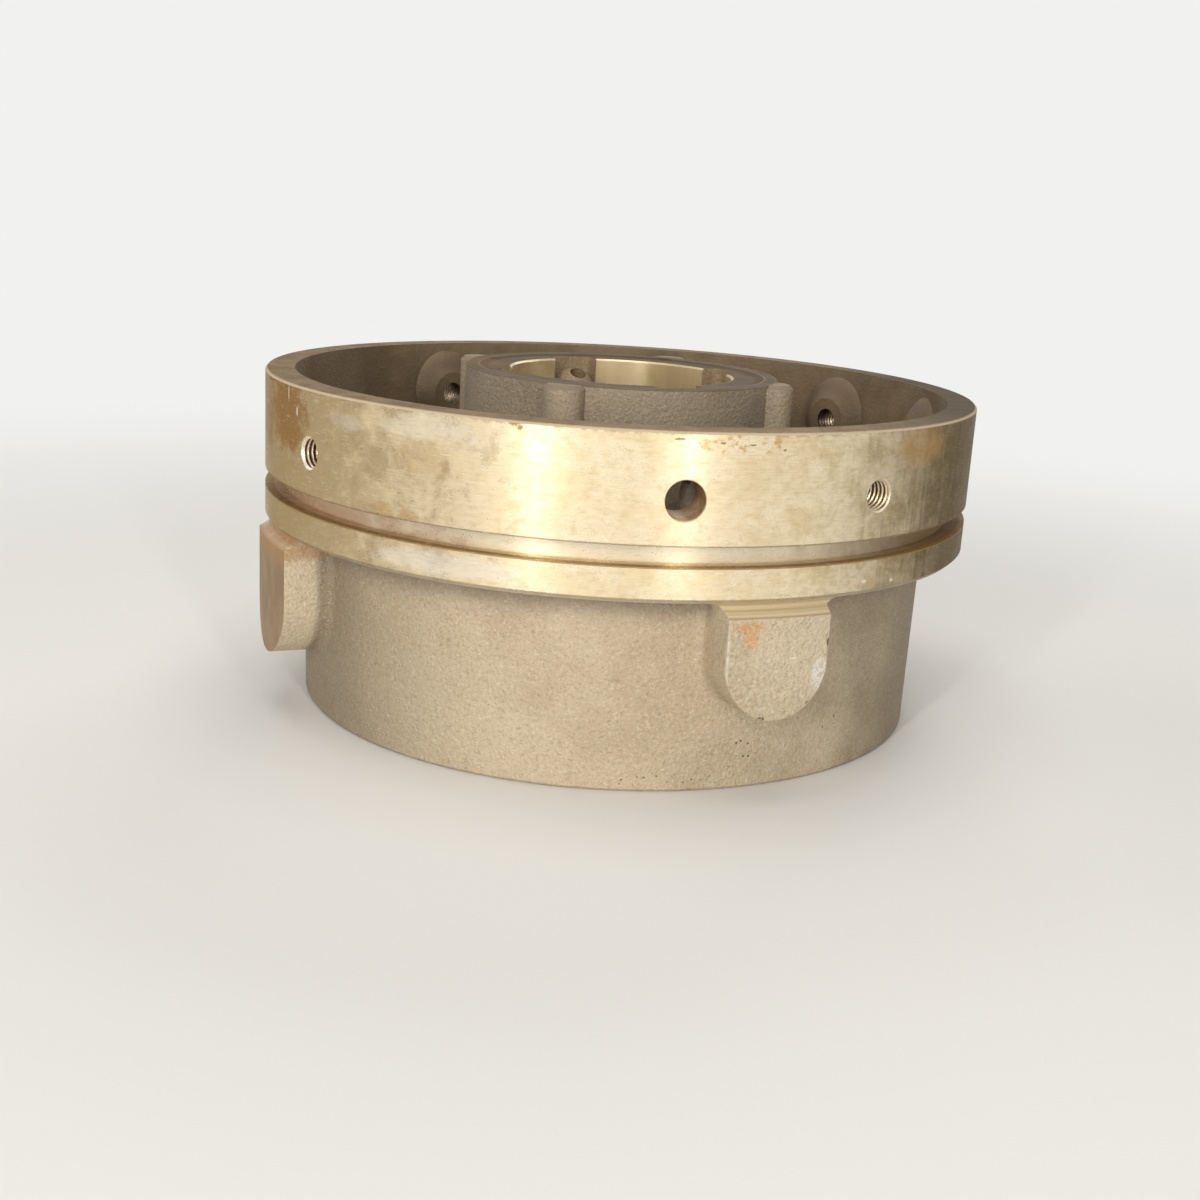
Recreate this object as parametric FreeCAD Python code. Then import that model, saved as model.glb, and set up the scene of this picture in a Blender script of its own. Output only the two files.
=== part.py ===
import FreeCAD, Part
import math
import os

# Pump casing, one bronze sand casting, millimetres.
# The origin is on the casing axis in the plane of the bottom face, and +Z runs up the axis to the
# open mouth. Azimuths are measured about +Z from the -Y side and grow towards +X.

V = FreeCAD.Vector
UP = V(0, 0, 1)

# how a corner of a turned section is trimmed
SHARP = "sharp"
BEVEL = "bevel"
ARC = "arc"

# turned band round the mouth
band_radius = 120.0
rim_height = 110.0
band_to_groove = 32.2
groove_width = 5.9
groove_depth = 6.2
collar_width = 9.1
collar_bevel = 1.4
rim_bevel = 0.7
rim_thickness = 9.6

# cast drum under the band
band_overhang = 13.1
drum_draft = 0.8
drum_wall = 9.0
foot_bevel = 0.8

# cored inside: a straight throat behind the radial holes, a taper, then the drum's own wall
throat_depth = 27.2
throat_draft = 1.4
throat_fillet = 18.0
taper_foot_depth = 42.0
taper_foot_fillet = 14.0
cavity_draft = 1.2

# floor of the annular trough and the recess under it
floor_height = 14.0
floor_thickness = 10.0
floor_bevel = 5.0
recess_bevel = 3.0

# central hub
hub_radius = 53.5
hub_rise = 2.8
hub_draft = 1.2
hub_edge_bevel = 0.4
hub_root_bevel = 5.0
hub_foot_gap = 1.0
hub_foot_bevel = 1.0
bore_radius = 37.8
bore_bevel = 0.6
seat_step = 0.5
seat_gap = 0.4
hub_lip_width = 4.5
register_slope = 2.8
register_depth = 0.6

# half-round columns on the outside of the hub
rib_count = 4
rib_first_azimuth = -19.3
rib_reach = 6.7
rib_width = 13.4
rib_top_bevel = 1.2

# pockets in the hub bore, each with a domed boss and an inclined drilling
pocket_count = 4
pocket_first_azimuth = 27.0
pocket_width = 16.6
pocket_depth = 6.0
pocket_corner = 3.2
pocket_floor_drop = 12.0
dome_radius = 8.0
dome_sink = 2.0
dome_top_drop = 4.4
dome_offset = -1.7
drilling_radius = 3.0
drilling_tilt = 60.0

# radial holes through the band
hole_drop = 19.2
tapped_count = 4
tapped_first_azimuth = 39.4
tapped_core = 8.5
tapped_mouth = 10.3
tapped_bevel = 1.1
plain_count = 4
plain_first_azimuth = 9.1
plain_diameter = 11.6
plain_bevel = 0.3

# pillow bosses on the inside of the band, one behind each radial hole
pillow_height = 6.0
pillow_bury = 2.0
pillow_flat = 8.2
pillow_skirt = 16.4

# U-shaped lugs on the drum under the band: azimuth, width and height of the tip of each
lugs = ((23.8, 33.0, 26.8), (-66.2, 39.5, 20.2))
lug_stand_out = 1.9
lug_face_drop = 3.9
lug_flare = 4.0
lug_root_fillet = 3.0
lug_relief_depth = 3.7
lug_relief_drop = 1.8
lug_bury = 3.0

# how far cutters and buried ends run past the faces that they cross
CLEAR = 5.0

# sizes that follow from the ones above
groove_top = rim_height - band_to_groove
groove_bottom = groove_top - groove_width
collar_bottom = groove_bottom - collar_width
shoulder_height = collar_bottom - collar_bevel
shoulder_radius = band_radius - collar_bevel
mouth_radius = band_radius - rim_thickness
drum_radius_top = band_radius - band_overhang
drum_radius_foot = drum_radius_top - drum_draft
throat_radius = mouth_radius - throat_draft
cavity_radius = drum_radius_foot - drum_wall
taper_foot_radius = cavity_radius + cavity_draft
hub_top = rim_height + hub_rise
hub_root_radius = hub_radius + hub_draft
register_radius_top = hub_radius - hub_lip_width
register_radius_bottom = register_radius_top - register_slope
seat_radius = bore_radius - seat_step
seat_top = hub_top - dome_top_drop - 2 * dome_radius - seat_gap
floor_top = floor_height + floor_thickness
hole_height = rim_height - hole_drop
pillow_face_radius = mouth_radius - pillow_height
lug_face_radius = band_radius + lug_stand_out
lug_face_top = shoulder_height - lug_face_drop
lug_relief_radius = lug_face_radius - lug_relief_depth
lug_relief_height = shoulder_height - lug_relief_drop


def spun(solid, azimuth):
    """Copy of a solid made at azimuth 0, turned about the casing axis."""
    copy = solid.copy()
    copy.rotate(V(0, 0, 0), UP, azimuth)
    return copy


def ring(count, first):
    """Azimuths of an evenly spaced ring."""
    return [first + 360.0 * i / count for i in range(count)]


def profile(corners):
    """Closed wire in the XZ plane through corners (r, z, trim, size), sharp, bevelled or rounded."""
    count = len(corners)
    starts = []
    ends = []
    edges = []
    for i, (r, z, trim, size) in enumerate(corners):
        here = V(r, 0, z)
        before = V(corners[i - 1][0], 0, corners[i - 1][1]) - here
        after = V(corners[(i + 1) % count][0], 0, corners[(i + 1) % count][1]) - here
        before.normalize()
        after.normalize()
        # a bevel takes its size off both sides, an arc takes what makes it tangent to them
        half = before.getAngle(after) / 2
        reach = size / math.tan(half) if trim == ARC else size
        start = here + before * reach
        end = here + after * reach
        starts.append(start)
        ends.append(end)
        if trim == BEVEL:
            edges.append(Part.makeLine(start, end))
        if trim == ARC:
            inwards = before + after
            inwards.normalize()
            middle = here + inwards * (size / math.sin(half) - size)
            edges.append(Part.Arc(start, middle, end).toShape())
    for i in range(count):
        edges.append(Part.makeLine(ends[i], starts[(i + 1) % count]))
    return Part.Wire(Part.__sortEdges__(edges))


def turned(corners):
    """Solid of revolution about the casing axis."""
    return Part.Face(profile(corners)).revolve(V(0, 0, 0), UP, 360)


def make_shell():
    """Band, drum, floor and hub as one revolved section."""
    return turned([
        # outside, from the foot up to the rim
        (drum_radius_foot, 0, BEVEL, foot_bevel),
        (drum_radius_top, shoulder_height, SHARP, 0),
        (shoulder_radius, shoulder_height, SHARP, 0),
        (band_radius, collar_bottom, SHARP, 0),
        (band_radius, groove_bottom, SHARP, 0),
        (band_radius - groove_depth, groove_bottom, SHARP, 0),
        (band_radius - groove_depth, groove_top, SHARP, 0),
        (band_radius, groove_top, SHARP, 0),
        (band_radius, rim_height, BEVEL, rim_bevel),
        # down the throat and the taper into the trough
        (mouth_radius, rim_height, SHARP, 0),
        (throat_radius, rim_height - throat_depth, ARC, throat_fillet),
        (taper_foot_radius, rim_height - taper_foot_depth, ARC, taper_foot_fillet),
        (cavity_radius, floor_top, BEVEL, floor_bevel),
        # up the hub, over its face and down the bore
        (hub_root_radius, floor_top, BEVEL, hub_root_bevel),
        (hub_radius, hub_top, BEVEL, hub_edge_bevel),
        (register_radius_top, hub_top, SHARP, 0),
        (register_radius_bottom, hub_top - register_depth, SHARP, 0),
        (bore_radius, hub_top - register_depth, BEVEL, bore_bevel),
        (bore_radius, seat_top, SHARP, 0),
        (seat_radius, seat_top, SHARP, 0),
        (seat_radius, hub_foot_gap, SHARP, 0),
        # the recess under the floor, back to the foot
        (hub_root_radius, hub_foot_gap, BEVEL, hub_foot_bevel),
        (hub_root_radius, floor_height, BEVEL, recess_bevel),
        (cavity_radius, floor_height, BEVEL, recess_bevel),
        (cavity_radius, 0, SHARP, 0),
    ])


def make_lug(width, tip_height):
    """U-shaped pad: straight sides that flare under the band and a half-round lower end."""
    half = width / 2
    round_height = tip_height + half
    inner = drum_radius_foot - lug_bury
    flare_low = shoulder_height - lug_flare
    bend = lug_flare * (1 - math.sqrt(0.5))
    right = [
        V(0, 0, tip_height),
        V(half, 0, round_height),
        V(half, 0, flare_low),
        V(half + bend, 0, shoulder_height - bend),
        V(half + lug_flare, 0, shoulder_height),
    ]
    left = [V(-p.x, 0, p.z) for p in right]
    outline = Part.Wire([
        Part.Arc(left[1], right[0], right[1]).toShape(),
        Part.makeLine(right[1], right[2]),
        Part.Arc(right[2], right[3], right[4]).toShape(),
        Part.makeLine(right[4], left[4]),
        Part.Arc(left[4], left[3], left[2]).toShape(),
        Part.makeLine(left[2], left[1]),
    ])
    outline.translate(V(0, -inner, 0))
    blank = Part.Face(outline).extrude(V(0, inner - lug_face_radius - CLEAR, 0))
    # the face is concentric with the band, with a turned relief between the two
    core = cavity_radius
    low = tip_height - CLEAR
    limit = turned([
        (core, low, SHARP, 0),
        (lug_face_radius, low, SHARP, 0),
        (lug_face_radius, lug_face_top, SHARP, 0),
        (lug_relief_radius, lug_relief_height, SHARP, 0),
        (shoulder_radius, shoulder_height, SHARP, 0),
        (core, shoulder_height, SHARP, 0),
    ])
    return blank.common(limit)


def root_edges(body):
    """Edges where the sides of the lugs run into the drum."""
    tolerance = lug_bury / 6
    lowest_tip = min(tip for azimuth, width, tip in lugs)
    ceiling = shoulder_height - tolerance
    found = []
    for e in body.Edges:
        reach = [math.hypot(v.Point.x, v.Point.y) for v in e.Vertexes]
        level = [v.Point.z for v in e.Vertexes]
        on_drum = max(reach) < drum_radius_top + tolerance and min(reach) > drum_radius_foot - tolerance
        if on_drum and min(level) > lowest_tip - tolerance and max(level) < ceiling:
            found.append(e)
    return found


def make_rib():
    """Half-round column on the hub, bevelled at the hub face."""
    half = rib_width / 2
    centre = hub_radius + rib_reach - half
    column = Part.makeCylinder(half, hub_top - floor_height, V(0, -centre, floor_height), UP)
    top_edge = max(column.Edges, key=lambda e: e.CenterOfMass.z)
    return column.makeChamfer(rib_top_bevel, [top_edge])


def make_pillow():
    """Pillow boss: a slice of a ball with a flat face towards the casing axis, made at azimuth 0."""
    # the ball passes through the edge of the flat and through the circle where the boss leaves the wall
    sink = (pillow_height ** 2 + pillow_skirt ** 2 - pillow_flat ** 2) / (2 * pillow_height)
    ball_radius = math.hypot(sink, pillow_flat)
    ball = Part.makeSphere(ball_radius, V(0, -pillow_face_radius - sink, hole_height))
    face_centre = V(0, -pillow_face_radius, hole_height)
    slice_depth = pillow_height + pillow_bury
    return ball.common(Part.makeCylinder(ball_radius, slice_depth, face_centre, V(0, -1, 0)))


def make_radial_hole(diameter, mouth, depth):
    """Cutter for a radial hole with a bevelled mouth, made at azimuth 0."""
    outwards = V(0, -1, 0)
    start = pillow_face_radius - CLEAR
    drill = Part.makeCylinder(diameter / 2, band_radius - start, V(0, -start, hole_height), outwards)
    bevel = Part.makeCone(diameter / 2, mouth / 2, depth, V(0, depth - band_radius, hole_height), outwards)
    clear = Part.makeCylinder(mouth / 2, CLEAR, V(0, -band_radius, hole_height), outwards)
    return drill.fuse([bevel, clear])


def make_pocket():
    """Cutter for one bore pocket: a round-cornered slot open at the top and to the bore."""
    deep = bore_radius + pocket_depth
    half = pocket_width / 2
    base = hub_top - pocket_floor_drop
    # the block starts far enough inside the bore for its own corners to be in the open
    length = deep / 2
    block = Part.makeBox(pocket_width, length, pocket_floor_drop + CLEAR, V(-half, -deep, base))
    upright = [e for e in block.Edges if abs(e.BoundBox.ZLength) > pocket_floor_drop]
    corners = [e for e in upright if e.CenterOfMass.y < length / 2 - deep]
    return block.makeFillet(pocket_corner, corners)


def dome_centre():
    """Centre of the ball that shapes a dome, beside the middle of its pocket."""
    return V(dome_offset, dome_sink - bore_radius - pocket_depth, hub_top - dome_top_drop - dome_radius)


def make_dome():
    """Domed boss that stands on the pocket floor and bulges a little into the bore."""
    return Part.makeSphere(dome_radius, dome_centre())


def make_drilling():
    """Cutter for the drilling through a dome, leaning down and outwards to the trough."""
    lean = math.radians(drilling_tilt)
    along = V(0, -math.cos(lean), -math.sin(lean))
    start = dome_centre() - along * (dome_radius + CLEAR)
    # long enough to leave the hub wall on its outside
    length = dome_radius + 2 * CLEAR + (hub_root_radius - bore_radius) / math.cos(lean)
    return Part.makeCylinder(drilling_radius, length, start, along)


def make_casing():
    body = make_shell()
    for azimuth, width, tip_height in lugs:
        body = body.fuse(spun(make_lug(width, tip_height), azimuth))
    body = body.makeFillet(lug_root_fillet, root_edges(body))
    # everything that the pattern adds to the turned shape
    grown = []
    for azimuth in ring(rib_count, rib_first_azimuth):
        grown.append(spun(make_rib(), azimuth))
    for azimuth in ring(tapped_count, tapped_first_azimuth):
        grown.append(spun(make_pillow(), azimuth))
    for azimuth in ring(plain_count, plain_first_azimuth):
        grown.append(spun(make_pillow(), azimuth))
    body = body.fuse(grown)
    body = body.removeSplitter()
    # everything that is cut afterwards
    cuts = []
    for azimuth in ring(pocket_count, pocket_first_azimuth):
        cuts.append(spun(make_pocket(), azimuth))
    body = body.cut(cuts)
    domes = []
    for azimuth in ring(pocket_count, pocket_first_azimuth):
        domes.append(spun(make_dome(), azimuth))
    body = body.fuse(domes)
    holes = []
    for azimuth in ring(pocket_count, pocket_first_azimuth):
        holes.append(spun(make_drilling(), azimuth))
    for azimuth in ring(tapped_count, tapped_first_azimuth):
        holes.append(spun(make_radial_hole(tapped_core, tapped_mouth, tapped_bevel), azimuth))
    plain_mouth = plain_diameter + 2 * plain_bevel
    for azimuth in ring(plain_count, plain_first_azimuth):
        holes.append(spun(make_radial_hole(plain_diameter, plain_mouth, plain_bevel), azimuth))
    return body.cut(holes)


os.makedirs("parts", exist_ok=True)
casing = make_casing()
if casing.ShapeType == "Compound" and len(casing.Solids) == 1:
    casing = casing.Solids[0]
print("pump_casing", casing.ShapeType, len(casing.Solids), casing.isValid(), round(casing.Volume))
print(casing.BoundBox)
casing.exportStep("parts/pump_casing.step")
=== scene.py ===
import math

import bmesh
import bpy
from mathutils import Matrix, Vector


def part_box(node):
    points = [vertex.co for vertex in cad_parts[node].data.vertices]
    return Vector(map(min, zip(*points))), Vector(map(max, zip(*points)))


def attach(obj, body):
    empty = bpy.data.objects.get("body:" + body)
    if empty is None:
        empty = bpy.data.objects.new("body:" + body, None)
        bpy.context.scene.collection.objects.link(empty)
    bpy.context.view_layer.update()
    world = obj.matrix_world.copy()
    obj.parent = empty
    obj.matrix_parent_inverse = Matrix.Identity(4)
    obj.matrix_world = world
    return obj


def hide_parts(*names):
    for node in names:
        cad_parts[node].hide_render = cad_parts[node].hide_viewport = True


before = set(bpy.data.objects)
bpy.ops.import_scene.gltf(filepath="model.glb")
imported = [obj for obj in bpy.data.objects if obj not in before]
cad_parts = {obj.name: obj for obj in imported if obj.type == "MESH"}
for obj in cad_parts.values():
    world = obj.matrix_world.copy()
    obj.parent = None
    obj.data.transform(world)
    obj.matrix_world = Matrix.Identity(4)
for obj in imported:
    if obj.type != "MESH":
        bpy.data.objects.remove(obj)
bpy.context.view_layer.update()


# ---------------------------------------------------------------------------------------------
# The casing: one bronze sand casting, turned outside at the mouth and bored in the hub.
# Its skin is the solid's own surface with the facets joined and the round faces shaded smooth,
# so that each zone can carry the finish that the mould, the core or the tool left on it.

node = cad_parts["pump_casing"]
low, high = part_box("pump_casing")
band_radius = high.x
hub_top = high.z
hub_rise = 0.0028
rim_height = hub_top - hub_rise
rim_thickness = 0.0096
groove_top = rim_height - 0.0322
groove_bottom = groove_top - 0.0059
groove_depth = 0.0062
collar_bottom = groove_bottom - 0.0091
shoulder_height = collar_bottom - 0.0014
relief_height = 0.0040
drum_radius = band_radius - 0.0131
lug_face_radius = band_radius + 0.0019
hub_radius = 0.0535
rib_reach = hub_radius + 0.010
bore_radius = 0.0378
floor_height = 0.014
floor_thickness = 0.010

hole_height = rim_height - 0.0192
holes_of_a_kind = 4
tapped_first = math.radians(39.4)
plain_first = math.radians(9.1)
tapped_edge = 0.0056
plain_edge = 0.0064
pillow_height = 0.006
pillow_face = band_radius - rim_thickness - pillow_height


def spread(azimuth, radius, height):
    """Point at an azimuth measured from -Y towards +X, in radians."""
    return Vector((radius * math.sin(azimuth), -radius * math.cos(azimuth), height))


def ways_out(first):
    """Directions of the radial holes of one kind, from the azimuth of the first."""
    step = math.tau / holes_of_a_kind
    return [spread(first + i * step, 1.0, 0.0) for i in range(holes_of_a_kind)]


def along_hole(point, way_out):
    """How far out along a radial hole a point lies, and how far off the hole's axis."""
    arm = point - Vector((0, 0, hole_height))
    reach = arm.dot(way_out)
    return reach, (arm - reach * way_out).length


def off_holes(point):
    """How far a point lies outside the nearest of the radial holes, mouth bevels included."""
    nearest = 1.0
    for first, edge_radius in ((tapped_first, tapped_edge), (plain_first, plain_edge)):
        for way_out in ways_out(first):
            reach, off = along_hole(point, way_out)
            if reach > 0:
                nearest = min(nearest, off - edge_radius)
    return nearest


# the zones, in the order of the skin's material slots
TURNED, CAST, CORED, HUB, HUB_FACE, BORE, HOLE, RIM, RELIEF, LEFT_LUG, THREAD = range(11)


def zone_of(face):
    """Which finish a face of the casing has, from where it lies and which way it looks."""
    middle = face.calc_center_median()
    normal = face.normal
    z = middle.z
    r = math.hypot(middle.x, middle.y)
    outward = (normal.x * middle.x + normal.y * middle.y) / max(r, 1e-6)
    upright = 0.6 if z > hub_top - 0.002 else 0.95
    if bore_radius - 0.0007 < r < bore_radius + 0.0008 and abs(outward) > upright:
        return BORE
    if z > hub_top - 0.0010 and r < rib_reach and normal.z > 0.5:
        return HUB_FACE
    if r < rib_reach and z > floor_height + floor_thickness:
        return HUB
    if z > rim_height - 0.0009 and r > band_radius - rim_thickness - 0.001:
        return RIM
    in_relief = shoulder_height - relief_height - 0.0001 < z < shoulder_height + 0.0001
    if in_relief and r > band_radius - 0.004 and outward > 0.35:
        return RELIEF
    below_relief = z < shoulder_height - relief_height + 0.0002
    if below_relief and r > lug_face_radius - 0.0007 and middle.x < -0.09:
        return LEFT_LUG
    if r > band_radius - groove_depth - 0.0005 and z > shoulder_height + 0.0001:
        return HOLE if off_holes(middle) < 0 and abs(outward) < 0.98 else TURNED
    if r > drum_radius - 0.0035 and z < shoulder_height + 0.0005:
        return CAST
    if r > pillow_face and off_holes(middle) < 0 and abs(outward) < 0.5:
        return HOLE
    if z < floor_height + 0.0005:
        return CAST
    return CORED


skin_mesh = node.data.copy()
skin_mesh.name = "casing_skin"
skin_mesh.materials.clear()
shape = bmesh.new()
shape.from_mesh(skin_mesh)
bmesh.ops.remove_doubles(shape, verts=shape.verts, dist=1e-6)
for face in shape.faces:
    face.material_index = zone_of(face)


# ---------------------------------------------------------------------------------------------
# The threads of the four tapped holes: M10 coarse, cut from the core size outwards into the
# band. Their crests are cut back by the bevel at the mouth and they end at the pillow boss.
# They are sewn into the skin in place of the plain core holes.

tapped_core = 0.00425
tapped_mouth = 0.00515


class Finish:
    """A material under construction: its nodes are added and wired by these short calls."""

    def __init__(self, name, roughness, metallic, specular=0.5):
        self.material = bpy.data.materials.new(name)
        self.material.use_nodes = True
        self.nodes = self.material.node_tree.nodes
        self.links = self.material.node_tree.links
        self.shader = self.nodes["Principled BSDF"]
        self.shader.inputs["Roughness"].default_value = roughness
        self.shader.inputs["Metallic"].default_value = metallic
        self.shader.inputs["Specular IOR Level"].default_value = specular
        self.place = self.nodes.new("ShaderNodeTexCoord").outputs["Object"]
        parts = self.nodes.new("ShaderNodeSeparateXYZ")
        self.links.new(self.place, parts.inputs[0])
        self.x, self.y, self.z = parts.outputs

    def wire(self, value, socket):
        if isinstance(value, (int, float)):
            socket.default_value = value
        elif isinstance(value, tuple):
            socket.default_value = (*value, 1) if len(socket.default_value) == 4 else value
        else:
            self.links.new(value, socket)

    def math(self, operation, a, b=0.0):
        node = self.nodes.new("ShaderNodeMath")
        node.operation = operation
        self.wire(a, node.inputs[0])
        self.wire(b, node.inputs[1])
        return node.outputs[0]

    def plus(self, a, b):
        return self.math("ADD", a, b)

    def less(self, a, b):
        return self.math("SUBTRACT", a, b)

    def times(self, first, *others):
        for other in others:
            first = self.math("MULTIPLY", first, other)
        return first

    def length(self, a, b):
        """Length of a step with two sides at right angles."""
        return self.math("POWER", self.plus(self.times(a, a), self.times(b, b)), 0.5)

    def reach(self):
        """Distance from the casing's axis."""
        return self.length(self.x, self.y)

    def turn(self):
        """Azimuth in radians, as spread() takes it, with its seam at the back."""
        return self.math("ARCTAN2", self.x, self.times(self.y, -1.0))

    def off_axes(self, *azimuths):
        """Distance from the nearest of some level lines through the casing's axis, at the holes."""
        nearest = None
        for azimuth in azimuths:
            across = self.plus(self.times(self.x, math.cos(azimuth)),
                               self.times(self.y, math.sin(azimuth)))
            off = self.length(across, self.less(self.z, hole_height))
            nearest = off if nearest is None else self.math("MINIMUM", nearest, off)
        return nearest

    def ramp(self, value, start, end, out_start=0.0, out_end=1.0):
        """Smooth step of a value from one level to another."""
        node = self.nodes.new("ShaderNodeMapRange")
        node.interpolation_type = "SMOOTHSTEP"
        for v, name in ((value, "Value"), (start, "From Min"), (end, "From Max"),
                        (out_start, "To Min"), (out_end, "To Max")):
            self.wire(v, node.inputs[name])
        return node.outputs[0]

    def arc(self, turn, start, end, *levels):
        """Smooth step over the azimuth, from one angle to another in degrees."""
        return self.ramp(turn, math.radians(start), math.radians(end), *levels)

    def stretched(self, across, up, shift=(0, 0, 0)):
        """Object coordinates scaled alike in X and Y and separately in Z."""
        node = self.nodes.new("ShaderNodeMapping")
        self.links.new(self.place, node.inputs["Vector"])
        node.inputs["Location"].default_value = shift
        node.inputs["Scale"].default_value = (across, across, up)
        return node.outputs[0]

    def noise(self, vector, scale=1.0, detail=4.0, rough=0.6, distortion=0.0):
        node = self.nodes.new("ShaderNodeTexNoise")
        self.links.new(vector, node.inputs["Vector"])
        node.inputs["Scale"].default_value = scale
        node.inputs["Detail"].default_value = detail
        node.inputs["Roughness"].default_value = rough
        node.inputs["Distortion"].default_value = distortion
        return node.outputs[0]

    def cells(self, vector, scale):
        node = self.nodes.new("ShaderNodeTexVoronoi")
        self.links.new(vector, node.inputs["Vector"])
        node.inputs["Scale"].default_value = scale
        return node.outputs["Distance"]

    def mix(self, amount, a, b):
        node = self.nodes.new("ShaderNodeMix")
        node.data_type = "RGBA"
        self.wire(amount, node.inputs[0])
        self.wire(a, node.inputs[6])
        self.wire(b, node.inputs[7])
        return node.outputs[2]

    def tint(self, colour, mask, strength, other):
        """Lay another colour over the first where the mask is, up to a strength."""
        return self.mix(self.times(mask, strength), colour, other)

    def near(self, azimuth, radius, height, width, tall, ragged=0.0, grain=400.0):
        """Mask that is 1 round a point of the casing and fades out at an oval, ragged if wanted."""
        centre = spread(math.radians(azimuth), radius, height)
        level_step = self.length(self.less(self.x, centre.x), self.less(self.y, centre.y))
        away = self.length(self.math("DIVIDE", level_step, width),
                           self.math("DIVIDE", self.less(self.z, centre.z), tall))
        if ragged:
            wobble = self.less(self.noise(self.place, grain, 4.0, 0.7), 0.5)
            away = self.plus(away, self.times(wobble, ragged))
        return self.ramp(away, 1.15, 0.6)

    def line(self, value, middle, half, soft):
        """Mask of a thin line where a value is near its middle."""
        return self.ramp(self.math("ABSOLUTE", self.less(value, middle)), half + soft, half)

    def bump(self, height, distance, strength):
        node = self.nodes.new("ShaderNodeBump")
        node.inputs["Strength"].default_value = strength
        node.inputs["Distance"].default_value = distance
        self.wire(height, node.inputs["Height"])
        return node.outputs[0]

    def done(self, colour, normal=None, roughness=None):
        self.wire(colour, self.shader.inputs["Base Color"])
        if normal is not None:
            self.links.new(normal, self.shader.inputs["Normal"])
        if roughness is not None:
            self.wire(roughness, self.shader.inputs["Roughness"])
        return self.material


def thread_bronze():
    """Bright crests over brown roots, told apart by how far the wall is from the hole's axis."""
    f = Finish("thread_bronze", 0.34, 0.65)
    bright, brown = (0.82, 0.69, 0.49), (0.66, 0.50, 0.31)
    root_brown, painted_hole_shade, fresh_cut = (0.085, 0.028, 0.012), (0.045, 0.026, 0.014), (0.90, 0.79, 0.58)
    cloud = f.noise(f.place, 420, 3.0, 0.6)
    off = f.off_axes(tapped_first, tapped_first + math.pi / 2)
    reach = f.reach()
    colour = f.mix(f.ramp(cloud, 0.4, 0.65), bright, brown)
    roots = f.ramp(off, tapped_core + 0.00018, tapped_core + 0.00052)
    colour = f.tint(colour, roots, 0.94, root_brown)
    # painted shade darkens the inner turns, and the bevel of the mouth in the band is freshly cut
    inner_turns = f.ramp(reach, pillow_face + 0.009, pillow_face + 0.003)
    mouth_bevel = f.ramp(reach, band_radius - 0.0010, band_radius - 0.0006)
    colour = f.tint(colour, inner_turns, 0.94, painted_hole_shade)
    colour = f.tint(colour, mouth_bevel, 0.85, fresh_cut)
    return f.done(colour)


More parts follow.
